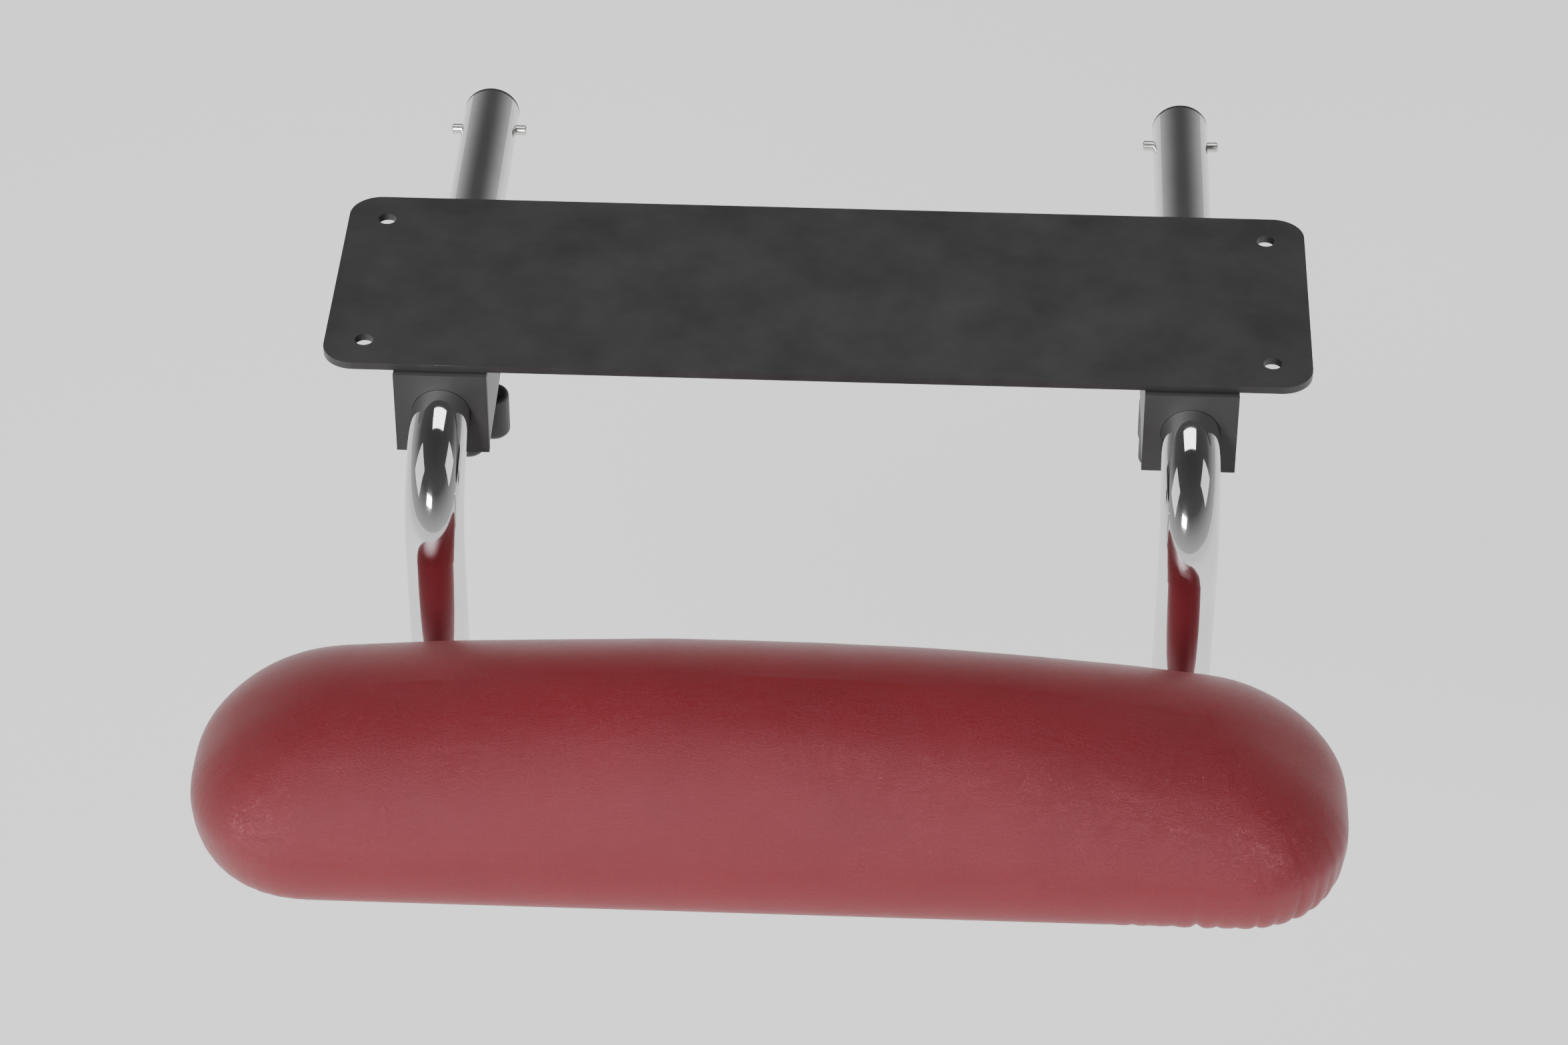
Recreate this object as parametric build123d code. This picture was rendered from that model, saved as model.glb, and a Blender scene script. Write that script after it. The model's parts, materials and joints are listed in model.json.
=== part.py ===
"""Hanging arm-rest bolster: a vinyl pad on two cranked tubes that slide in a receiver under a table.

Millimetres, +Z up. The origin is the centre of the receiver plate's top face, which bolts up
against the table. X runs along the pad, and -Y points outwards, away from the table.
"""

import os
from math import atan2, degrees

from build123d import *

# Pad, from the cover's underside to the top of its crown
pad_length = 422.0
pad_width = 106.0
pad_height = 70.0
pad_crown = 12.0
pad_corner_radius = 50.0
pad_edge_radius = 42.0
pad_bottom_radius = 8.0
pad_offset_x = -12.0
cover_thickness = 1.2
cover_turn_in = 25.0
board_thickness = 12.0
firm_foam_thickness = 15.0
lining_thickness = 0.6
lining_inset = 12.0

# Staples
staple_crown = 10.0
staple_wire = 1.0
staple_flat = 0.6
staple_leg = 8.0
cover_staple_inset = 21.0
cover_staple_pitch = 25.0
lining_staple_inset = 15.5
lining_staple_pitch = 40.0

# Arm tubes
tube_spacing = 280.0
tube_radius = 11.1
tube_wall = 1.6
tube_bend_radius = 35.0
tube_drop = 117.6
tube_to_pad_gap = 5.0
pad_to_upright = 22.0
tube_tip_inset = 38.5
bend_to_bush = 2.0
slide_travel = 75.0

# Tube plugs and stop pins
plug_insert = 8.0
plug_flange = 2.5
plug_press = 0.03
plug_rim_radius = 1.5
stop_pin_radius = 2.0
stop_pin_length = 30.0
stop_pin_to_end = 12.0
stop_pin_chamfer = 0.4
stop_clearance = 0.5

# Pad screws, tee nuts and saddles
screw_offsets_y = (-2.0, 18.0)
screw_radius = 3.0
screw_length = 40.0
screw_head_radius = 6.0
screw_head_height = 4.0
screw_head_rounding = 2.4
screw_drive_across = 4.0
screw_clearance = 0.2
tee_flange_radius = 9.5
tee_flange_thickness = 1.5
tee_barrel_radius = 3.9
tee_barrel_length = 8.5
saddle_radius = 9.0
saddle_wrap = 3.0
saddle_clearance = 0.5

# Receiver
plate_length = 370.0
plate_depth = 110.0
plate_thickness = 3.0
plate_corner_radius = 12.0
bolt_spacing_x = 340.0
bolt_spacing_y = 80.0
bolt_hole_radius = 3.5
socket_size = 35.0
socket_wall = 2.0
socket_corner_radius = 3.0
bush_insert = 22.0
bush_flange = 3.0
running_fit = 0.08
fastener_fit = 0.05

# Clamps
clamp_radius = 4.0
nut_across_flats = 13.0
nut_height = 6.5
bolt_head_height = 5.3
shoe_radius = 7.0
shoe_thickness = 2.6
shoe_gap = 0.3
shoe_socket_radius = 2.5
shoe_socket_depth = 1.4
wall_hole_radius = 4.25
knob_radius = 19.0
knob_height = 20.0
knob_web = 11.0
knob_lobes = 5
knob_lobe_radius = 6.5
knob_edge_radius = 2.5
knob_below_socket = 14.0
cap_radius = 8.5
cap_thickness = 2.0

# Places worked out from the sizes above
upper_run_z = -plate_thickness - socket_size / 2
lower_run_z = upper_run_z - tube_drop
socket_bottom_z = -plate_thickness - socket_size
bush_face_y = plate_depth / 2 + bush_flange
upright_y = -bush_face_y - bend_to_bush - tube_bend_radius
stop_pin_y = bush_face_y + slide_travel + stop_clearance + stop_pin_radius
tube_rear_y = stop_pin_y + stop_pin_to_end
pad_y = upright_y - pad_to_upright - pad_width / 2
tube_tip_y = pad_y - pad_width / 2 + tube_tip_inset
pad_base_z = lower_run_z + tube_radius + tube_to_pad_gap
board_top_z = cover_thickness + board_thickness
shoe_top_z = upper_run_z - tube_radius - shoe_gap
shoe_bottom_z = shoe_top_z - shoe_thickness
knob_top_z = socket_bottom_z - knob_below_socket
knob_bottom_z = knob_top_z - knob_height
sides = {"left": -tube_spacing / 2, "right": tube_spacing / 2}
screw_spots = [(x, pad_y + y) for x in sides.values() for y in screw_offsets_y]


def cylinder_z(radius, bottom, top, x=0.0, y=0.0):
    """Upright cylinder between two heights."""
    return Pos(x, y, bottom) * extrude(Circle(radius), top - bottom)


def cylinder_y(radius, start, end, x, z):
    """Cylinder along Y between two stations."""
    return Pos(x, start, z) * Rot(-90, 0, 0) * extrude(Circle(radius), end - start)


def box_between(low, high):
    """Box from its lowest corner to its highest."""
    size = [b - a for a, b in zip(low, high)]
    return Pos(*low) * Box(*size, align=(Align.MIN, Align.MIN, Align.MIN))


def hexagon(across_flats, bottom, top, x, y):
    """Upright hexagonal prism."""
    outline = RegularPolygon(across_flats / 2, 6, major_radius=False)
    return Pos(x, y, bottom) * extrude(outline, top - bottom)


def place_on_pad(shape):
    """Move a shape made about the pad's own base centre to where the pad hangs."""
    return Pos(pad_offset_x, pad_y, pad_base_z) * shape


def pad_plan(inset, thickness):
    """Rounded slab with the pad's outline, drawn in by the inset."""
    radius = pad_corner_radius - inset
    outline = RectangleRounded(pad_length - 2 * inset, pad_width - 2 * inset, radius)
    return extrude(outline, thickness)


def pad_form(inset):
    """Pillow form with a crowned top and rounded edges, drawn in by the inset on every side."""
    crown_radius = ((pad_length / 2) ** 2 + pad_crown**2) / (2 * pad_crown)
    barrel = Cylinder(crown_radius - inset, 2 * pad_width, rotation=(90, 0, 0))
    crown = Pos(0, 0, pad_height - crown_radius) * barrel
    block = Pos(0, 0, inset) * pad_plan(inset, pad_height) & crown
    domed = fillet(block.faces().sort_by(Axis.Z)[-1].edges(), pad_edge_radius - inset)
    return fillet(domed.faces().sort_by(Axis.Z)[0].edges(), pad_bottom_radius - inset)


def make_cover():
    """Vinyl skin over the foam, turned in under the board all round."""
    window = pad_plan(cover_turn_in, cover_thickness)
    return place_on_pad(pad_form(0) - pad_form(cover_thickness) - window)


def make_foams():
    """Firm layer that wraps the board's top and sides, and the soft crowned block on it."""
    filling = pad_form(cover_thickness)
    step_z = board_top_z + firm_foam_thickness
    firm = filling & pad_plan(0, step_z) - pad_plan(pad_bottom_radius, board_top_z)
    soft = filling - pad_plan(0, step_z)
    return place_on_pad(firm), place_on_pad(soft)


def make_board():
    """Plywood base with a counterbored hole for each tee nut."""
    board = place_on_pad(Pos(0, 0, cover_thickness) * pad_plan(pad_bottom_radius, board_thickness))
    bottom = pad_base_z + cover_thickness
    top = bottom + board_thickness
    for x, y in screw_spots:
        board -= cylinder_z(tee_barrel_radius + fastener_fit, bottom, top, x, y)
        board -= cylinder_z(tee_flange_radius + fastener_fit, top - tee_flange_thickness, top, x, y)
    return board


def make_lining():
    """Thin dust cover under the board, cut away round each saddle."""
    lining = place_on_pad(Pos(0, 0, -lining_thickness) * pad_plan(lining_inset, lining_thickness))
    room = saddle_radius + saddle_clearance
    for x, y in screw_spots:
        lining -= cylinder_z(room, pad_base_z - lining_thickness, pad_base_z, x, y)
    return lining


def make_staples(inset, pitch, crown_z):
    """Row of staples round the underside, legs up, evenly spaced."""
    outline = RectangleRounded(
        pad_length - 2 * inset, pad_width - 2 * inset, pad_corner_radius - inset
    )
    path = outline.face().outer_wire()
    count = round(path.length / pitch)
    crown = Box(staple_crown, staple_wire, staple_flat, align=(Align.CENTER, Align.CENTER, Align.MIN))
    leg = Box(staple_flat, staple_wire, staple_leg, align=(Align.CENTER, Align.CENTER, Align.MIN))
    reach = (staple_crown - staple_flat) / 2
    staple = crown + Pos(-reach, 0, 0) * leg + Pos(reach, 0, 0) * leg
    row = []
    for step in range(count):
        point = path.position_at(step / count)
        tangent = path.tangent_at(step / count)
        turn = degrees(atan2(tangent.Y, tangent.X))
        row.append(place_on_pad(Pos(point.X, point.Y, crown_z) * Rot(0, 0, turn) * staple))
    return Compound(children=row)


def make_arm_tube(x):
    """Cranked tube: back run in the socket, bend down, upright, bend out and run under the pad."""
    path = FilletPolyline(
        (x, tube_rear_y, upper_run_z),
        (x, upright_y, upper_run_z),
        (x, upright_y, lower_run_z),
        (x, tube_tip_y, lower_run_z),
        radius=tube_bend_radius,
    )
    ring = Circle(tube_radius) - Circle(tube_radius - tube_wall)
    start = Plane(origin=(x, tube_rear_y, upper_run_z), z_dir=(0, -1, 0))
    tube = sweep(start * ring, path=path)
    for spot_x, spot_y in screw_spots:
        if spot_x == x:
            tube -= cylinder_z(
                screw_radius + screw_clearance,
                lower_run_z - 2 * tube_radius,
                lower_run_z + 2 * tube_radius,
                spot_x,
                spot_y,
            )
    pin_hole = Cylinder(stop_pin_radius + fastener_fit, 4 * tube_radius, rotation=(0, 90, 0))
    return tube - Pos(x, stop_pin_y, upper_run_z) * pin_hole


def make_plug(x, end_y, z, outwards):
    """Push-in end plug with a rounded flange; outwards is the sign of Y away from the tube."""
    flange = cylinder_y(tube_radius, 0, plug_flange, 0, 0)
    rim = flange.edges().sort_by(Axis.Y)[-1]
    flange = fillet(rim, plug_rim_radius)
    insert = cylinder_y(tube_radius - tube_wall - plug_press, -plug_insert, 0, 0, 0)
    turn = 0 if outwards > 0 else 180
    return Pos(x, end_y, z) * Rot(0, 0, turn) * (flange + insert)


def make_stop_pin(x):
    """Cross pin that meets the rear bush at the end of the slide."""
    pin = Cylinder(stop_pin_radius, stop_pin_length, rotation=(0, 90, 0))
    return Pos(x, stop_pin_y, upper_run_z) * chamfer(pin.edges().filter_by(GeomType.CIRCLE), stop_pin_chamfer)


def make_saddles():
    """Nylon saddles that seat the round tubes against the flat board."""
    top = pad_base_z + cover_thickness
    bottom = lower_run_z + tube_radius - saddle_wrap
    saddles = []
    for x, y in screw_spots:
        saddle = cylinder_z(saddle_radius, bottom, top, x, y)
        saddle -= cylinder_z(screw_radius + screw_clearance, bottom, top, x, y)
        reach = 2 * saddle_radius
        saddle -= cylinder_y(tube_radius + fastener_fit, y - reach, y + reach, x, lower_run_z)
        saddles.append(saddle)
    return Compound(children=saddles)


def make_pad_screws():
    """Machine screws up through tube and saddle, with domed heads under the tube."""
    seat = lower_run_z - tube_radius
    screws = []
    for x, y in screw_spots:
        head = cylinder_z(screw_head_radius, seat - screw_head_height, seat, x, y)
        head = fillet(head.edges().sort_by(Axis.Z)[0], screw_head_rounding)
        drive = hexagon(screw_drive_across, seat - screw_head_height, seat - screw_head_height / 2, x, y)
        screws.append(head - drive + cylinder_z(screw_radius, seat, seat + screw_length, x, y))
    return Compound(children=screws)


def make_tee_nuts():
    """Flanged nuts sunk in the board's top face."""
    top = pad_base_z + board_top_z
    nuts = []
    for x, y in screw_spots:
        flange = cylinder_z(tee_flange_radius, top - tee_flange_thickness, top, x, y)
        barrel_top = top - tee_flange_thickness
        barrel = cylinder_z(tee_barrel_radius, barrel_top - tee_barrel_length, barrel_top, x, y)
        bore = cylinder_z(screw_radius + fastener_fit, barrel_top - tee_barrel_length, top, x, y)
        nuts.append(flange + barrel - bore)
    return Compound(children=nuts)


def make_plate():
    """Receiver plate with a hole for a table screw near each corner."""
    plate = extrude(RectangleRounded(plate_length, plate_depth, plate_corner_radius), -plate_thickness)
    for x in (-bolt_spacing_x / 2, bolt_spacing_x / 2):
        for y in (-bolt_spacing_y / 2, bolt_spacing_y / 2):
            plate -= cylinder_z(bolt_hole_radius, -plate_thickness, 0, x, y)
    return plate


def make_socket(x):
    """Square tube under the plate, drilled below for the clamp."""
    bore = socket_size - 2 * socket_wall
    section = RectangleRounded(socket_size, socket_size, socket_corner_radius) - Rectangle(bore, bore)
    start = Pos(x, plate_depth / 2, upper_run_z) * Rot(90, 0, 0)
    tube = start * extrude(section, plate_depth)
    return tube - cylinder_z(wall_hole_radius, socket_bottom_z, socket_bottom_z + socket_wall, x, 0)


def make_bush(x, front):
    """Flanged nylon bush, square outside and round inside, pushed in one end of the socket."""
    sign = -1 if front else 1
    bore_size = (socket_size - 2 * socket_wall) / 2
    end_y = plate_depth / 2
    flange_size = socket_size / 2
    stations = sorted((sign * end_y, sign * bush_face_y))
    flange = box_between(
        (x - flange_size, stations[0], upper_run_z - flange_size),
        (x + flange_size, stations[1], upper_run_z + flange_size),
    )
    inner = sorted((sign * (end_y - bush_insert), sign * end_y))
    insert = box_between(
        (x - bore_size, inner[0], upper_run_z - bore_size),
        (x + bore_size, inner[1], upper_run_z + bore_size),
    )
    bore = cylinder_y(tube_radius + running_fit, -bush_face_y, bush_face_y, x, upper_run_z)
    return flange + insert - bore


def make_weld_nut(x):
    """Nut welded under the socket for the clamp bolt."""
    nut = hexagon(nut_across_flats, socket_bottom_z - nut_height, socket_bottom_z, x, 0)
    return nut - cylinder_z(clamp_radius + fastener_fit, socket_bottom_z - nut_height, socket_bottom_z, x, 0)


def make_clamp_shoe(x):
    """Brass pressure pad on the bolt's tip."""
    shoe = cylinder_z(shoe_radius, shoe_bottom_z, shoe_top_z, x, 0)
    tip_room = shoe_socket_radius + fastener_fit
    return shoe - cylinder_z(tip_room, shoe_bottom_z, shoe_bottom_z + shoe_socket_depth, x, 0)


def make_clamp_bolt(x):
    """Hexagon bolt whose head sits in the knob and whose stepped tip carries the shoe."""
    shoulder = shoe_bottom_z - fastener_fit
    head_top = knob_top_z - knob_web
    shank = cylinder_z(clamp_radius, head_top, shoulder, x, 0)
    tip = cylinder_z(shoe_socket_radius, shoulder, shoe_bottom_z + shoe_socket_depth - fastener_fit, x, 0)
    head = hexagon(nut_across_flats, head_top - bolt_head_height, head_top, x, 0)
    return shank + tip + head


def make_knob(x):
    """Lobed hand knob, hollowed from below for the bolt's head and its cap."""
    reach = knob_radius - knob_lobe_radius
    outline = Circle(reach)
    for spot in PolarLocations(reach, knob_lobes):
        outline += spot * Circle(knob_lobe_radius)
    knob = Pos(x, 0, knob_bottom_z) * extrude(outline, knob_height)
    rims = knob.faces().sort_by(Axis.Z)[0].edges() + knob.faces().sort_by(Axis.Z)[-1].edges()
    knob = fillet(rims, knob_edge_radius)
    head_top = knob_top_z - knob_web
    knob -= cylinder_z(clamp_radius + fastener_fit, head_top, knob_top_z, x, 0)
    knob -= hexagon(nut_across_flats, knob_bottom_z, head_top, x, 0)
    return knob - cylinder_z(cap_radius + fastener_fit, knob_bottom_z, knob_bottom_z + cap_thickness, x, 0)


def make_knob_cap(x):
    """Disc that closes the knob's recess."""
    return cylinder_z(cap_radius, knob_bottom_z, knob_bottom_z + cap_thickness, x, 0)


def build_all():
    """Every node by name."""
    firm_foam, soft_foam = make_foams()
    parts = {
        "mounting_plate": make_plate(),
        "vinyl_cover": make_cover(),
        "soft_foam": soft_foam,
        "firm_foam": firm_foam,
        "base_board": make_board(),
        "underside_lining": make_lining(),
        "cover_staples": make_staples(cover_staple_inset, cover_staple_pitch, 0),
        "lining_staples": make_staples(
            lining_staple_inset, lining_staple_pitch, -lining_thickness - staple_flat
        ),
        "pad_screws": make_pad_screws(),
        "tee_nuts": make_tee_nuts(),
        "tube_saddles": make_saddles(),
    }
    for side, x in sides.items():
        parts["arm_tube_" + side] = make_arm_tube(x)
        parts["lower_plug_" + side] = make_plug(x, tube_tip_y, lower_run_z, -1)
        parts["upper_plug_" + side] = make_plug(x, tube_rear_y, upper_run_z, 1)
        parts["stop_pin_" + side] = make_stop_pin(x)
        parts["socket_tube_" + side] = make_socket(x)
        parts["front_bush_" + side] = make_bush(x, True)
        parts["rear_bush_" + side] = make_bush(x, False)
        parts["weld_nut_" + side] = make_weld_nut(x)
        parts["clamp_shoe_" + side] = make_clamp_shoe(x)
        parts["clamp_bolt_" + side] = make_clamp_bolt(x)
        parts["clamp_knob_" + side] = make_knob(x)
        parts["knob_cap_" + side] = make_knob_cap(x)
    return parts


os.makedirs("parts", exist_ok=True)
for name, shape in build_all().items():
    export_step(shape, "parts/" + name + ".step")
    print(name, round(shape.volume))
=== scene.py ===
"""Looks of the hanging arm-rest bolster: vinyl pad, chromed arms and the receiver they slide in."""

import json
import math

import bmesh
import bpy
import numpy as np
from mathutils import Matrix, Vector, noise


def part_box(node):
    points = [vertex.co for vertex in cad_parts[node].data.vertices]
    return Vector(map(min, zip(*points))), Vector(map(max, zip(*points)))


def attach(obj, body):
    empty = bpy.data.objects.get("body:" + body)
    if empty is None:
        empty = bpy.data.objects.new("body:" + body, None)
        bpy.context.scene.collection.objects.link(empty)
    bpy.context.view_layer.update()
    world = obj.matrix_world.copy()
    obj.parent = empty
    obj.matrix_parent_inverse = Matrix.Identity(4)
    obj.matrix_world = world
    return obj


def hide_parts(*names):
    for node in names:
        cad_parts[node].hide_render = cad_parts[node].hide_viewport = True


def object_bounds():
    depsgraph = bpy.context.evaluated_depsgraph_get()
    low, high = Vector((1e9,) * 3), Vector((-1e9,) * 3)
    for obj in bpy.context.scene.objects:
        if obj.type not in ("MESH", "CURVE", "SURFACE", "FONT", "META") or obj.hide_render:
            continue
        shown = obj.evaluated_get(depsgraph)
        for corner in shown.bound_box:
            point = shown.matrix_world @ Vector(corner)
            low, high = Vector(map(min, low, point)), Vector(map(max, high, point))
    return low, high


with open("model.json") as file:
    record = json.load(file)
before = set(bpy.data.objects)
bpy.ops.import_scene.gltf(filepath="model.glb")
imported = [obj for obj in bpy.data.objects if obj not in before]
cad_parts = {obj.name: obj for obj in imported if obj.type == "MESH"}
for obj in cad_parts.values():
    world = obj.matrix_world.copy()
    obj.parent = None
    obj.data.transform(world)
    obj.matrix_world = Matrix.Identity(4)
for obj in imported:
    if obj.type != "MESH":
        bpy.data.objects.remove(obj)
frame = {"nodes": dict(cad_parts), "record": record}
cad_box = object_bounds()

MM = 0.001

# Pad sizes that the frame's boxes don't give
VINYL = 1.2 * MM
TURN_IN = 25.0 * MM
BOTTOM_INSET = 8.0 * MM
SIDE_TOP = 20.0 * MM
LEFT_CROWN = 19.0 * MM
RIGHT_CROWN = 25.0 * MM
SPINE_INSET = 53.0 * MM
CORNERS = {"near_left": 45.0 * MM, "near_right": 38.0 * MM, "far_right": 50.0 * MM, "far_left": 50.0 * MM}
PLUMP = 1.5 * MM
FOAM_INSET = 2.0 * MM
FOAM_SLACK = 0.3 * MM
BOARD_BOTTOM = 1.2 * MM
BOARD_TOP = 13.2 * MM
FIRM_TOP = 28.2 * MM

# An inset longer than any way in, which puts a flat ring on the spine
TO_SPINE = 1.0

# Pad mesh: coarse steps for the cloth, and how many fine ones each becomes
STRAIGHT_STEPS = 76
END_STEPS = 46
UNDER_STEPS = 5
SIDE_STEPS = 6
DOME_STEPS = 20
FINE = {"straight": 2, "end": 4, "low": 3, "high": 2}

# Pad ends are drawn in arc steps, and BLEND of these each way are averaged to soften the corners
ARC_STEPS = 400
BLEND = 34

# Dome rows that the firm foam covers, and the distance under which points become one
ROWS_TO_FIRM_TOP = 4
MERGE = 0.02 * MM

# Cloth: stiff upholstery vinyl, slightly shrunk, and the furthest it may move
CLOTH_FRAMES = 20
CLOTH_QUALITY = 6
CLOTH_PRESSURE = 4.0
CLOTH_STRETCH = 30.0
CLOTH_SHEAR = 15.0
CLOTH_BENDING = 2.0
CLOTH_SHRINK = 0.012
CLOTH_CAP = 1.6 * MM

# Gathers where the vinyl is pulled round the board's ends
GATHER_PITCH = 7.5 * MM
GATHER_DEPTH = 2.0 * MM
GATHER_RISE = 10.0 * MM
GATHER_START = 30.0 * MM
RIGHT_GATHERS = 90.0 * MM
LEFT_GATHERS = 50.0 * MM
LEFT_GATHER_SHARE = 0.4
GATHER_SWAY = 0.45
GATHER_SWAY_SCALE = 55
GATHER_UNEVEN_SCALE = 70
FOLD_SHARPNESS = 0.45
FOLD_MIDDLE = 0.82

# Hollows and swells of the hand-stretched cover
SWELL = 1.0 * MM
BROAD_SCALE = 16.0
BROAD_SHARE = 0.5
SMALL_SCALE = 42.0
SMALL_SHARE = 0.18

# Camera and light
TARGET_NEARER = 0.01
VIEW_AZIMUTH = math.radians(2.6)
VIEW_ELEVATION = math.radians(38.0)
VIEW_DISTANCE = 1.85
FRAME_WIDTH = 0.60
SENSOR = 36.0
FLOOR_DROP = 0.32
FLOOR_GLOW = 0.85
FLOOR_REACH = 12.0
WORLD_STRENGTH = 0.6
WORLD_STOPS = [(0.0, 0.90), (0.25, 0.55), (0.55, 0.16), (1.0, 0.10)]

# Name, azimuth and elevation in degrees, distance and size in metres, power in watts.
# The sheen lamp is seen in reflections only.
LIGHTS = [
    ("key", -20, 27, 1.7, (0.50, 0.28), 11),
    ("sheen", -19, 26, 1.7, (0.32, 0.18), 42),
    ("fill_left", -75, 30, 2.0, (1.0, 1.0), 4),
    ("fill_right", 80, 35, 2.2, (1.0, 1.0), 4),
    ("top", 180, 70, 1.9, (1.2, 0.8), 15),
]


# ---------------------------------------------------------------- materials

def set_stops(ramp, stops):
    """Give a colour ramp its (position, colour) stops."""
    elements = ramp.color_ramp.elements
    while len(elements) < len(stops):
        elements.new(0.5)
    for element, (position, color) in zip(elements, stops):
        element.position = position
        element.color = (*color, 1.0)


class Shader:
    """A node material with short ways to add and join nodes."""

    def __init__(self, name, color, roughness, metallic=0.0):
        self.material = bpy.data.materials.new(name)
        self.material.use_nodes = True
        self.nodes = self.material.node_tree.nodes
        self.links = self.material.node_tree.links
        self.surface = self.nodes["Principled BSDF"]
        self.surface.inputs["Base Color"].default_value = (*color, 1.0)
        self.surface.inputs["Roughness"].default_value = roughness
        self.surface.inputs["Metallic"].default_value = metallic
        self.place = self.nodes.new("ShaderNodeTexCoord").outputs["Object"]

    def add(self, kind, **values):
        """New node; keyword values set its properties, or its sockets by name."""
        node = self.nodes.new("ShaderNode" + kind)
        for key, value in values.items():
            if hasattr(node, key):
                setattr(node, key, value)
            else:
                node.inputs[key.replace("_", " ")].default_value = value
        return node

    def join(self, source, target):
        self.links.new(source, target)

    def noise(self, scale, detail, roughness=0.5, distortion=0.0, along=(1, 1, 1)):
        """Noise value at object coordinates, which are first scaled along each axis."""
        mapping = self.add("Mapping", Scale=along)
        self.join(self.place, mapping.inputs["Vector"])
        node = self.add("TexNoise", Scale=scale, Detail=detail, Roughness=roughness, Distortion=distortion)
        self.join(mapping.outputs["Vector"], node.inputs["Vector"])
        return node.outputs["Fac"]

    def cells(self, scale, feature, wobble):
        """Voronoi distance, its places shaken by a little noise."""
        node = self.add("TexVoronoi", feature=feature, Scale=scale)
        shake = self.add("TexNoise", Scale=scale * 0.6, Detail=2.0)
        self.join(self.place, shake.inputs["Vector"])
        shift = self.add("VectorMath", operation="SCALE", Scale=wobble)
        self.join(shake.outputs["Color"], shift.inputs[0])
        total = self.add("VectorMath", operation="ADD")
        self.join(self.place, total.inputs[0])
        self.join(shift.outputs["Vector"], total.inputs[1])
        self.join(total.outputs["Vector"], node.inputs["Vector"])
        return node.outputs["Distance"]

    def ramp(self, source, stops):
        """Colour ramp from (position, colour) stops."""
        node = self.add("ValToRGB")
        set_stops(node, stops)
        self.join(source, node.inputs["Fac"])
        return node.outputs["Color"]

    def spread(self, source, low, high):
        """Map 0..1 to low..high."""
        node = self.add("MapRange", To_Min=low, To_Max=high)
        self.join(source, node.inputs["Value"])
        return node.outputs["Result"]

    def total(self, first, second, share):
        """First value plus a share of the second."""
        weighted = self.add("Math", operation="MULTIPLY")
        self.join(second, weighted.inputs[0])
        weighted.inputs[1].default_value = share
        node = self.add("Math", operation="ADD")
        self.join(first, node.inputs[0])
        self.join(weighted.outputs["Value"], node.inputs[1])
        return node.outputs["Value"]

    def color(self, output):
        self.join(output, self.surface.inputs["Base Color"])

    def roughness(self, output):
        self.join(output, self.surface.inputs["Roughness"])

    def bump(self, output, depth, strength):
        """Height in metres from a 0..1 value, added on top of any bump already there."""
        node = self.add("Bump", Strength=strength, Distance=depth)
        self.join(output, node.inputs["Height"])
        slot = self.surface.inputs["Normal"]
        if slot.is_linked:
            self.join(slot.links[0].from_socket, node.inputs["Normal"])
        self.join(node.outputs["Normal"], slot)


def vinyl_material():
    """Burgundy upholstery vinyl: pebbled grain, short creases, slightly worn colour."""
    m = Shader("red_vinyl", (0.26, 0.006, 0.010), 0.36)
    m.surface.inputs["Specular IOR Level"].default_value = 0.80
    m.surface.inputs["Specular Tint"].default_value = (1.0, 0.54, 0.63, 1.0)
    patches = m.noise(18.0, 4.0, 0.6)
    m.color(m.ramp(patches, [
        (0.25, (0.235, 0.005, 0.008)),
        (0.55, (0.262, 0.006, 0.010)),
        (0.80, (0.285, 0.008, 0.013)),
    ]))
    wear = m.noise(60.0, 5.0, 0.65)
    m.roughness(m.spread(wear, 0.27, 0.34))
    grain = m.cells(1300.0, "SMOOTH_F1", 0.35)
    m.bump(grain, 0.12 * MM, 0.5)
    creases = m.noise(400.0, 4.0, 0.7, 1.6, (0.5, 1.0, 1.0))
    folds = m.ramp(creases, [
        (0.44, (0.0, 0.0, 0.0)),
        (0.50, (1.0, 1.0, 1.0)),
        (0.56, (0.15, 0.15, 0.15)),
    ])
    m.bump(folds, 0.20 * MM, 0.4)
    m.bump(m.noise(40.0, 2.0), 1.2 * MM, 0.25)
    return m.material


def chrome_material():
    """Bright chrome plate with faint draw lines and handling haze."""
    m = Shader("chrome", (0.70, 0.70, 0.71), 0.05, 1.0)
    haze = m.noise(35.0, 6.0, 0.7)
    m.roughness(m.spread(haze, 0.025, 0.10))
    m.color(m.ramp(haze, [(0.3, (0.66, 0.66, 0.68)), (0.7, (0.74, 0.74, 0.74))]))
    m.bump(m.noise(900.0, 3.0, 0.6, 0.0, (1.0, 0.05, 1.0)), 0.01 * MM, 0.25)
    return m.material


def zinc_material(name="zinc_steel", color=(0.62, 0.62, 0.60)):
    """Bright zinc plate: slightly crystalline and uneven."""
    m = Shader(name, color, 0.3, 1.0)
    spangle = m.cells(240.0, "F1", 0.2)
    m.roughness(m.spread(spangle, 0.22, 0.42))
    darker = tuple(c * 0.82 for c in color)
    m.color(m.ramp(m.noise(150.0, 4.0), [(0.3, darker), (0.7, color)]))
    m.bump(m.noise(1500.0, 3.0), 0.02 * MM, 0.3)
    return m.material


def brass_material():
    """Turned brass with rings and a little tarnish."""
    m = Shader("brass", (0.66, 0.46, 0.18), 0.28, 1.0)
    tarnish = m.noise(160.0, 5.0, 0.65)
    m.color(m.ramp(tarnish, [(0.35, (0.44, 0.29, 0.11)), (0.65, (0.70, 0.50, 0.20))]))
    m.roughness(m.spread(tarnish, 0.22, 0.45))
    rings = m.add("TexWave", wave_type="RINGS", rings_direction="Z", Scale=900.0, Distortion=0.5)
    m.join(m.place, rings.inputs["Vector"])
    m.bump(rings.outputs["Fac"], 0.02 * MM, 0.3)
    return m.material


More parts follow.
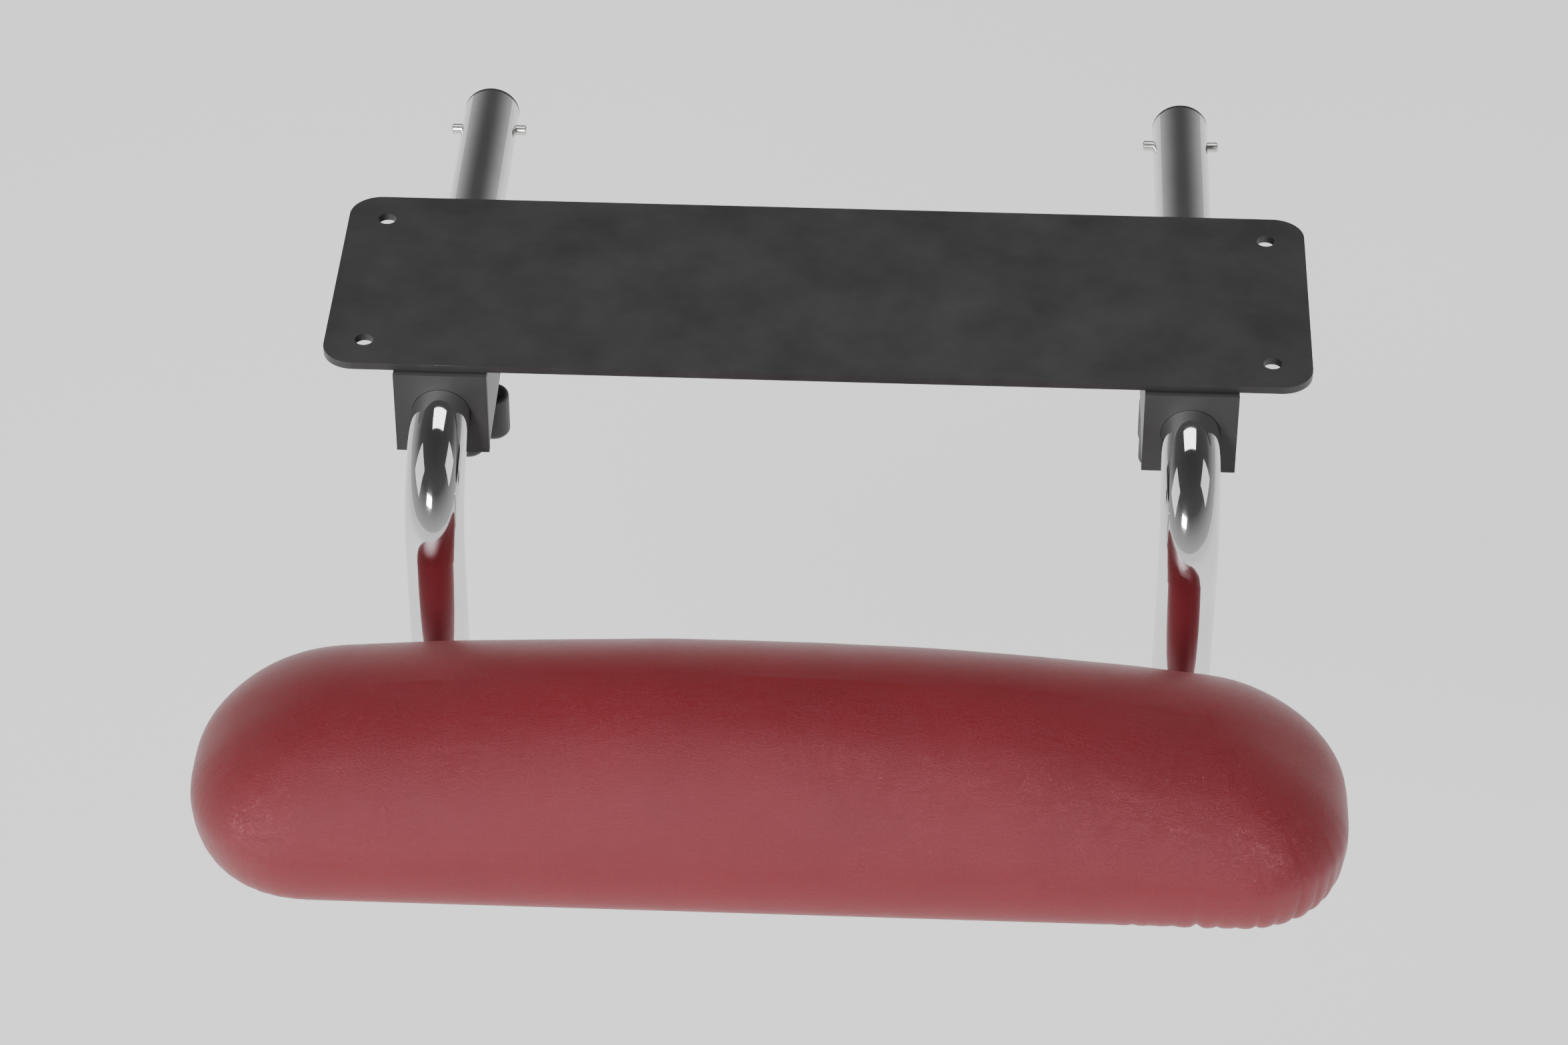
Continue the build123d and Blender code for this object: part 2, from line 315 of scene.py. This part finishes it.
def powder_coat_material():
    """Black powder coat: orange peel, dust-dulled patches."""
    m = Shader("black_steel", (0.028, 0.028, 0.030), 0.42)
    m.surface.inputs["Coat Weight"].default_value = 0.15
    m.surface.inputs["Coat Roughness"].default_value = 0.3
    dust = m.noise(28.0, 6.0, 0.65)
    m.color(m.ramp(dust, [(0.35, (0.022, 0.022, 0.024)), (0.75, (0.046, 0.045, 0.044))]))
    m.roughness(m.spread(dust, 0.34, 0.56))
    m.bump(m.noise(650.0, 2.0, 0.4), 0.06 * MM, 0.4)
    return m.material


def moulded_material(name, color, roughness):
    """Moulded plastic with a fine spark-eroded texture."""
    m = Shader(name, color, roughness)
    mottle = m.noise(70.0, 5.0, 0.6)
    lighter = tuple(min(1.0, c * 1.25 + 0.006) for c in color)
    m.color(m.ramp(mottle, [(0.3, color), (0.75, lighter)]))
    m.roughness(m.spread(mottle, roughness - 0.08, roughness + 0.1))
    m.bump(m.cells(2600.0, "F1", 0.3), 0.04 * MM, 0.35)
    return m.material


def plywood_material():
    """Plywood: veneer layers stacked along Z, long grain along X."""
    m = Shader("plywood", (0.55, 0.38, 0.22), 0.68)
    grain = m.noise(130.0, 6.0, 0.65, 0.8, (0.08, 1.0, 1.0))
    plies = m.add("TexWave", wave_type="BANDS", bands_direction="Z", Scale=66.0, Distortion=0.6)
    m.join(m.place, plies.inputs["Vector"])
    both = m.total(grain, plies.outputs["Fac"], 0.35)
    m.color(m.ramp(both, [
        (0.30, (0.30, 0.18, 0.09)),
        (0.60, (0.52, 0.35, 0.19)),
        (0.95, (0.66, 0.49, 0.30)),
    ]))
    m.bump(grain, 0.12 * MM, 0.5)
    return m.material


def foam_material(name, color, cell):
    """Open-cell foam with painted shade in its pore hollows; cell is its pore size."""
    m = Shader(name, color, 0.9)
    m.surface.inputs["Subsurface Weight"].default_value = 0.1
    m.surface.inputs["Subsurface Radius"].default_value = (0.004, 0.003, 0.002)
    pores = m.cells(1.0 / cell, "F1", 0.5)
    # Pore hollows are coloured darker than the foam: painted shade in the pores
    painted_pore_shade = tuple(c * 0.55 for c in color)
    m.color(m.ramp(pores, [(0.15, painted_pore_shade), (0.5, color)]))
    m.bump(pores, cell * 0.4, 0.8)
    return m.material


def lining_material():
    """Black non-woven dust cloth with thermal bond points."""
    m = Shader("black_lining", (0.022, 0.022, 0.023), 0.95)
    m.surface.inputs["Sheen Weight"].default_value = 0.25
    fibres = m.noise(900.0, 5.0, 0.75, 2.0)
    points = m.cells(700.0, "F1", 0.05)
    m.color(m.ramp(fibres, [(0.3, (0.014, 0.014, 0.015)), (0.7, (0.045, 0.045, 0.046))]))
    m.bump(m.total(fibres, points, 0.6), 0.15 * MM, 0.6)
    return m.material


def floor_material():
    """Plain pale studio floor with the slight glow of a light table."""
    m = Shader("studio_floor", (0.90, 0.90, 0.90), 0.85)
    m.surface.inputs["Specular IOR Level"].default_value = 0.2
    m.surface.inputs["Emission Color"].default_value = (1.0, 1.0, 1.0, 1.0)
    m.surface.inputs["Emission Strength"].default_value = FLOOR_GLOW
    return m.material


def make_materials():
    """One material for each slot in the record."""
    return {
        "red_vinyl": vinyl_material(),
        "chrome": chrome_material(),
        "zinc_steel": zinc_material(),
        "staple_wire": zinc_material("staple_wire", (0.52, 0.52, 0.51)),
        "brass": brass_material(),
        "black_steel": powder_coat_material(),
        "black_plastic": moulded_material("black_plastic", (0.020, 0.020, 0.021), 0.45),
        "black_nylon": moulded_material("black_nylon", (0.030, 0.030, 0.031), 0.55),
        "white_nylon": moulded_material("white_nylon", (0.74, 0.72, 0.66), 0.5),
        "plywood": plywood_material(),
        "soft_foam": foam_material("soft_foam", (0.80, 0.72, 0.46), 0.7 * MM),
        "firm_foam": foam_material("firm_foam", (0.36, 0.40, 0.44), 1.6 * MM),
        "black_lining": lining_material(),
    }


# ---------------------------------------------------------------- pad shape

def spaced(path, steps):
    """Points at even lengths along a polyline."""
    lengths = np.concatenate([[0], np.cumsum(np.hypot(*np.diff(path, axis=0).T))])
    stations = np.linspace(0, lengths[-1], steps + 1)
    return np.stack([np.interp(stations, lengths, path[:, k]) for k in (0, 1)], axis=1)


class PadForm:
    """The pad's skin as a surface over (column, row): columns run round the plan, rows run up it.

    A column starts under the board, turns round its edge, climbs the side and crosses the dome to
    the spine, a line along the middle of the top.
    """

    def __init__(self):
        low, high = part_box("vinyl_cover")
        self.centre = Vector(((low.x + high.x) / 2, (low.y + high.y) / 2, low.z))
        self.half_length = (high.x - low.x) / 2
        self.half_width = (high.y - low.y) / 2 + PLUMP
        self.height = high.z - low.z + PLUMP
        self.spine_end = self.half_length - SPINE_INSET
        self.rows = UNDER_STEPS + SIDE_STEPS + DOME_STEPS
        self.columns = 2 * (STRAIGHT_STEPS + END_STEPS)
        self.points = self.outline()

    def end_run(self, sign, first, second):
        """Outline of one end, from the near side to the far side, evenly spaced."""
        near, far = CORNERS[first], CORNERS[second]
        path = [(self.spine_end * sign, -self.half_width)]
        for step in range(ARC_STEPS + 1):
            turn = math.pi / 2 * step / ARC_STEPS
            x = self.half_length - near + near * math.sin(turn)
            path.append((x * sign, -self.half_width + near - near * math.cos(turn)))
        for step in range(ARC_STEPS + 1):
            turn = math.pi / 2 * step / ARC_STEPS
            x = self.half_length - far + far * math.cos(turn)
            path.append((x * sign, self.half_width - far + far * math.sin(turn)))
        path.append((self.spine_end * sign, self.half_width))
        even = spaced(np.array(path), ARC_STEPS)
        tail = 2 * even[-1] - even[-2:-BLEND - 2:-1]
        long = np.concatenate([2 * even[0] - even[BLEND:0:-1], even, tail])
        window = np.hanning(2 * BLEND + 1)
        window /= window.sum()
        soft = np.stack([np.convolve(long[:, k], window, "valid") for k in (0, 1)], axis=1)
        return spaced(soft, END_STEPS)

    def outline(self):
        """Closed plan outline: near side, right end, far side, left end."""
        run = np.linspace(-self.spine_end, self.spine_end, STRAIGHT_STEPS + 1)
        near = np.stack([run, np.full_like(run, -self.half_width)], axis=1)
        far = np.stack([run[::-1], np.full_like(run, self.half_width)], axis=1)
        right = self.end_run(1, "near_right", "far_right")
        left = self.end_run(-1, "near_left", "far_left")[::-1]
        return np.concatenate([near[:-1], right[:-1], far[:-1], left[:-1]])

    def plan_point(self, column):
        """Outline point at fractional columns, wrapped round."""
        closed = np.concatenate([self.points, self.points[:1]])
        index = np.arange(self.columns + 1)
        column = np.mod(column, self.columns)
        return np.stack([np.interp(column, index, closed[:, k]) for k in (0, 1)], axis=1)

    def profile(self, row, reach):
        """Distance in from the outline, base height and dome rise (0..1) at a fractional row."""
        inset = np.zeros_like(reach)
        rise = 0.0
        if row <= UNDER_STEPS:
            inset = inset + TURN_IN + (BOTTOM_INSET - TURN_IN) * row / UNDER_STEPS
            base = 0.0
        elif row <= UNDER_STEPS + SIDE_STEPS:
            turn = math.pi / 2 * (row - UNDER_STEPS) / SIDE_STEPS
            inset = inset + BOTTOM_INSET * (1 - math.sin(turn))
            base = SIDE_TOP * (1 - math.cos(turn))
        else:
            turn = math.pi / 2 * (row - self.rows + DOME_STEPS) / DOME_STEPS
            inset = reach * (1 - math.cos(turn))
            base = SIDE_TOP
            rise = math.sin(turn)
        return inset, base, rise

    def top(self, x):
        """Height of the crown over the length."""
        fall = np.where(x > 0, RIGHT_CROWN, LEFT_CROWN)
        return self.height - fall * (x / self.half_length) ** 2

    def to_spine(self, column):
        """Outline points, the ways from them to the spine and how long those are."""
        plan = self.plan_point(column)
        spine_x = np.clip(plan[:, 0], -self.spine_end, self.spine_end)
        across = np.stack([spine_x, np.zeros(len(plan))], axis=1) - plan
        return plan, across, np.hypot(across[:, 0], across[:, 1])

    def ring(self, column, row, shrink=0.0):
        """Points of one row, moved inwards by shrink."""
        plan, across, reach = self.to_spine(column)
        inset, base, rise = self.profile(row, reach)
        inset = np.minimum(inset + shrink * np.cos(rise * math.pi / 2), reach)
        flat = plan + across * (inset / reach)[:, None]
        height = base + (self.top(flat[:, 0]) - shrink - base) * rise
        return np.column_stack([flat, height]) + np.array(self.centre)

    def flat_ring(self, column, inset, height):
        """Points at a constant inset and height."""
        plan, across, reach = self.to_spine(column)
        flat = plan + across * (np.minimum(inset, reach) / reach)[:, None]
        return np.column_stack([flat, np.full(len(flat), height)]) + np.array(self.centre)


def fine_steps(parts):
    """Fractional coarse steps: each (steps, division) run is cut into division times as many."""
    stations = []
    start = 0
    for steps, division in parts:
        stations.append(start + np.arange(steps * division) / division)
        start += steps
    return np.concatenate(stations)


def quads_mesh(name, rings):
    """Mesh of quads between closed rings of points."""
    count = len(rings[0])
    faces = []
    for start in range(0, (len(rings) - 1) * count, count):
        for i in range(count):
            j = (i + 1) % count
            faces.append((start + i, start + j, start + count + j, start + count + i))
    mesh = bpy.data.meshes.new(name)
    mesh.from_pydata(np.concatenate(rings).tolist(), [], faces)
    return mesh


def mesh_from_rings(name, rings):
    """Closed skin from rings: points that meet are merged and faces turned outwards."""
    mesh = quads_mesh(name, rings)
    work = bmesh.new()
    work.from_mesh(mesh)
    bmesh.ops.remove_doubles(work, verts=work.verts, dist=MERGE)
    bmesh.ops.dissolve_degenerate(work, edges=work.edges, dist=MERGE)
    bmesh.ops.recalc_face_normals(work, faces=work.faces)
    work.to_mesh(mesh)
    work.free()
    mesh.update()
    return mesh


def add_piece(name, rings, material):
    """Smooth-shaded object with one material, skinned over rings of points."""
    mesh = mesh_from_rings(name, rings)
    piece = bpy.data.objects.new(name, mesh)
    bpy.context.scene.collection.objects.link(piece)
    mesh.materials.append(material)
    mesh.polygons.foreach_set("use_smooth", [True] * len(mesh.polygons))
    return piece


def apply_modifiers(piece):
    """Replace a piece's mesh by what its modifiers make of it."""
    graph = bpy.context.evaluated_depsgraph_get()
    mesh = bpy.data.meshes.new_from_object(piece.evaluated_get(graph))
    piece.modifiers.clear()
    piece.data = mesh


def inflated(form, rings):
    """How far cloth pressure moves each point of the coarse skin, row by row, capped."""
    count = form.columns
    grid = np.concatenate(rings)
    skin = bpy.data.objects.new("cloth_skin", quads_mesh("cloth_skin", rings))
    bpy.context.scene.collection.objects.link(skin)
    held = skin.vertex_groups.new(name="held")
    stapled = count * (UNDER_STEPS + 1)
    held.add(list(range(stapled)) + list(range(len(grid) - count, len(grid))), 1.0, "REPLACE")
    cloth = skin.modifiers.new("cloth", "CLOTH")
    cloth.settings.vertex_group_mass = "held"
    cloth.settings.use_pressure = True
    cloth.settings.uniform_pressure_force = CLOTH_PRESSURE
    cloth.settings.effector_weights.gravity = 0.0
    cloth.settings.quality = CLOTH_QUALITY
    cloth.settings.tension_stiffness = CLOTH_STRETCH
    cloth.settings.compression_stiffness = CLOTH_STRETCH
    cloth.settings.shear_stiffness = CLOTH_SHEAR
    cloth.settings.bending_stiffness = CLOTH_BENDING
    cloth.settings.shrink_min = CLOTH_SHRINK
    scene = bpy.context.scene
    for number in range(1, CLOTH_FRAMES + 1):
        scene.frame_set(number)
    graph = bpy.context.evaluated_depsgraph_get()
    moved = skin.evaluated_get(graph).to_mesh()
    places = np.array([v.co for v in moved.vertices])
    bpy.data.objects.remove(skin)
    scene.frame_set(1)
    shift = (places - grid).reshape(len(rings), count, 3)
    length = np.linalg.norm(shift, axis=2, keepdims=True)
    return shift * np.minimum(1.0, CLOTH_CAP / np.maximum(length, 1e-9))


def spread_shift(shift, columns, rows):
    """The coarse skin's moves at fractional columns and rows."""
    closed = np.concatenate([shift, shift[:, :1]], axis=1)
    low_column = np.floor(columns).astype(int)
    column_share = (columns - low_column)[None, :, None]
    low_row = np.minimum(np.floor(rows).astype(int), len(shift) - 2)
    row_share = (rows - low_row)[:, None, None]
    across = closed[:, low_column] * (1 - column_share) + closed[:, low_column + 1] * column_share
    return across[low_row] * (1 - row_share) + across[low_row + 1] * row_share


def grid_normals(grid):
    """Outward unit normals of a ring grid, rows by columns."""
    round_way = np.roll(grid, -1, axis=1) - np.roll(grid, 1, axis=1)
    up_way = np.gradient(grid, axis=0)
    normals = np.cross(round_way, up_way)
    size = np.linalg.norm(normals, axis=2, keepdims=True)
    return normals / np.maximum(size, 1e-12)


def noise_over(grid, scale, offset):
    """Smooth noise at each place of a ring grid."""
    shift = Vector(offset)
    flat = [noise.noise(Vector(point) * scale + shift) for point in grid.reshape(-1, 3)]
    return np.array(flat).reshape(grid.shape[:2])


def noise_along(stations, y, z):
    """Smooth noise at stations of one line."""
    return np.array([noise.noise(Vector((station, y, z))) for station in stations])


def gathers(form, grid):
    """Outward moves for the folds that the pulled vinyl makes round the board's ends."""
    x = grid[0, :, 0] - form.centre.x
    right = np.clip((x - (form.half_length - RIGHT_GATHERS)) / GATHER_START, 0, 1)
    left = np.clip((-x - (form.half_length - LEFT_GATHERS)) / GATHER_START, 0, 1)
    strength = np.maximum(right, LEFT_GATHER_SHARE * left)
    side = grid[np.argmax(grid[:, 0, 2] > form.centre.z + SIDE_TOP * 0.9)]
    steps = np.linalg.norm(side - np.roll(side, 1, axis=0), axis=1)
    along = np.cumsum(steps)
    sway = noise_along(along * GATHER_SWAY_SCALE, 0.3, 2.1)
    uneven = 0.75 + 0.8 * noise_along(along * GATHER_UNEVEN_SCALE, 5.7, 0.2)
    wave = np.abs(np.sin(math.pi * (along / GATHER_PITCH + GATHER_SWAY * sway)))
    fold = wave ** FOLD_SHARPNESS - FOLD_MIDDLE
    height = grid[:, :, 2] - form.centre.z
    reach = GATHER_RISE * (0.45 + 0.7 * np.clip(uneven, 0.1, None))
    fade = np.exp(-np.maximum(height, 0.0) / reach)
    return GATHER_DEPTH * strength * uneven * fold * fade


def swells(form, grid):
    """Outward moves for the very shallow hollows and swells of a hand-stretched cover."""
    height = np.clip((grid[:, :, 2] - form.centre.z) / FIRM_TOP, 0, 1)
    broad = noise_over(grid, BROAD_SCALE, (0, 0, 0)) * BROAD_SHARE
    small = noise_over(grid, SMALL_SCALE, (3, 1, 7)) * SMALL_SHARE
    return SWELL * height * (broad + small)


def make_cover(form, material):
    """Vinyl cover: coarse skin blown up as cloth, refined, gathered and given its thickness."""
    coarse_columns = np.arange(form.columns, dtype=float)
    rings = [form.ring(coarse_columns, row) for row in range(form.rows + 1)]
    shift = np.zeros((form.rows + 1, form.columns, 3))
    shift = inflated(form, rings)
    columns = fine_steps([(STRAIGHT_STEPS, FINE["straight"]), (END_STEPS, FINE["end"])] * 2)
    rows = fine_steps([(UNDER_STEPS + SIDE_STEPS, FINE["low"]), (DOME_STEPS, FINE["high"])])
    rows = np.append(rows, form.rows)
    grid = np.array([form.ring(columns, row) for row in rows]) + spread_shift(shift, columns, rows)
    moves = swells(form, grid)
    moves[-1] = 0.0
    grid = grid + grid_normals(grid) * moves[:, :, None]
    grid = grid + grid_normals(grid) * gathers(form, grid)[:, :, None]
    cover = add_piece("vinyl_cover_skin", list(grid), material)
    shell = cover.modifiers.new("thickness", "SOLIDIFY")
    shell.thickness = VINYL
    shell.offset = -1.0
    apply_modifiers(cover)
    return cover


def make_soft_foam(form, material):
    """Soft foam block: flat underneath, domed like the skin above it."""
    columns = np.arange(0, form.columns, 2, dtype=float)
    rings = [
        form.flat_ring(columns, TO_SPINE, FIRM_TOP),
        form.flat_ring(columns, FOAM_INSET + 4 * MM, FIRM_TOP),
        form.flat_ring(columns, FOAM_INSET + 1.5 * MM, FIRM_TOP + FOAM_SLACK),
    ]
    for row in range(form.rows - DOME_STEPS + ROWS_TO_FIRM_TOP, form.rows + 1):
        rings.append(form.ring(columns, row, FOAM_INSET))
    return add_piece("soft_foam_block", rings, material)


def make_firm_foam(form, material):
    """Firm foam over the board's top and round its sides."""
    columns = np.arange(0, form.columns, 2, dtype=float)
    rings = [
        form.flat_ring(columns, TO_SPINE, BOARD_TOP),
        form.flat_ring(columns, BOTTOM_INSET + FOAM_INSET, BOARD_TOP),
        form.flat_ring(columns, BOTTOM_INSET + FOAM_INSET / 2, BOARD_TOP - 0.5 * MM),
        form.flat_ring(columns, BOTTOM_INSET + FOAM_INSET / 2, BOARD_BOTTOM + 0.4 * MM),
    ]
    for row in range(UNDER_STEPS + 2, UNDER_STEPS + SIDE_STEPS + 1):
        rings.append(form.ring(columns, row, FOAM_INSET))
    rings += [
        form.flat_ring(columns, FOAM_INSET + 0.6 * MM, FIRM_TOP - 0.8 * MM),
        form.flat_ring(columns, FOAM_INSET + 1.5 * MM, FIRM_TOP),
        form.flat_ring(columns, TO_SPINE, FIRM_TOP),
    ]
    return add_piece("firm_foam_layer", rings, material)


# ---------------------------------------------------------------- stage

def aim(thing, target):
    """Point an object's -Z axis at a place."""
    direction = Vector(target) - thing.location
    thing.rotation_euler = direction.to_track_quat("-Z", "Y").to_euler()


def around(target, azimuth, elevation, distance):
    """Place at an azimuth and elevation about a target; azimuth 0 is on the -Y side."""
    flat = math.cos(elevation) * distance
    return Vector((
        target.x + flat * math.sin(azimuth),
        target.y - flat * math.cos(azimuth),
        target.z + distance * math.sin(elevation),
    ))


def make_camera(target):
    """Camera at the viewing angle, with a long lens so that the object fills the frame."""
    data = bpy.data.cameras.new("camera")
    data.sensor_width = SENSOR
    data.lens = SENSOR * VIEW_DISTANCE / FRAME_WIDTH
    camera = bpy.data.objects.new("camera", data)
    bpy.context.scene.collection.objects.link(camera)
    camera.location = around(target, VIEW_AZIMUTH, VIEW_ELEVATION, VIEW_DISTANCE)
    aim(camera, target)
    bpy.context.scene.camera = camera


def make_light(name, target, azimuth, elevation, distance, size, power):
    """Rectangular area light aimed at the target."""
    data = bpy.data.lights.new(name, "AREA")
    data.shape = "RECTANGLE"
    data.size, data.size_y = size
    data.energy = power
    light = bpy.data.objects.new(name, data)
    bpy.context.scene.collection.objects.link(light)
    light.location = around(target, math.radians(azimuth), math.radians(elevation), distance)
    aim(light, target)
    return light


def make_floor(height):
    """Large plain floor under the object."""
    mesh = bpy.data.meshes.new("floor")
    signs = [(-1, -1), (1, -1), (1, 1), (-1, 1)]
    corners = [(x * FLOOR_REACH, y * FLOOR_REACH, height) for x, y in signs]
    mesh.from_pydata(corners, [], [(0, 1, 2, 3)])
    mesh.materials.append(floor_material())
    floor = bpy.data.objects.new("floor", mesh)
    bpy.context.scene.collection.objects.link(floor)


def make_world():
    """Soft studio surround: pale round the horizon, dark overhead."""
    world = bpy.data.worlds.new("studio")
    world.use_nodes = True
    nodes, links = world.node_tree.nodes, world.node_tree.links
    place = nodes.new("ShaderNodeTexCoord")
    split = nodes.new("ShaderNodeSeparateXYZ")
    links.new(place.outputs["Generated"], split.inputs["Vector"])
    ramp = nodes.new("ShaderNodeValToRGB")
    set_stops(ramp, [(position, (level, level, level)) for position, level in WORLD_STOPS])
    links.new(split.outputs["Z"], ramp.inputs["Fac"])
    background = nodes["Background"]
    links.new(ramp.outputs["Color"], background.inputs["Color"])
    background.inputs["Strength"].default_value = WORLD_STRENGTH
    bpy.context.scene.world = world


# ---------------------------------------------------------------- making

low, high = (Vector(corner) for corner in cad_box)
view_target = (low + high) / 2 - Vector((0.0, TARGET_NEARER, 0.0))
make_camera(view_target)

materials = make_materials()
for subpart in frame["record"]["subparts"]:
    node = frame["nodes"][subpart["node"]]
    node.data.materials.clear()
    node.data.materials.append(materials[subpart["material_slot"]])

pad = PadForm()
cover = make_cover(pad, materials["red_vinyl"])
soft_foam = make_soft_foam(pad, materials["soft_foam"])
firm_foam = make_firm_foam(pad, materials["firm_foam"])
for piece, node, slot, fill in (
    (cover, "vinyl_cover", "red_vinyl", 0.9),
    (soft_foam, "soft_foam", "soft_foam", 1.0),
    (firm_foam, "firm_foam", "firm_foam", 1.0),
):
    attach(piece, "arm")
    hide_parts(node)

make_world()
make_floor(low.z - FLOOR_DROP)
for name, azimuth, elevation, distance, size, power in LIGHTS:
    light = make_light(name, view_target, azimuth, elevation, distance, size, power)
    light.visible_diffuse = name != "sheen"
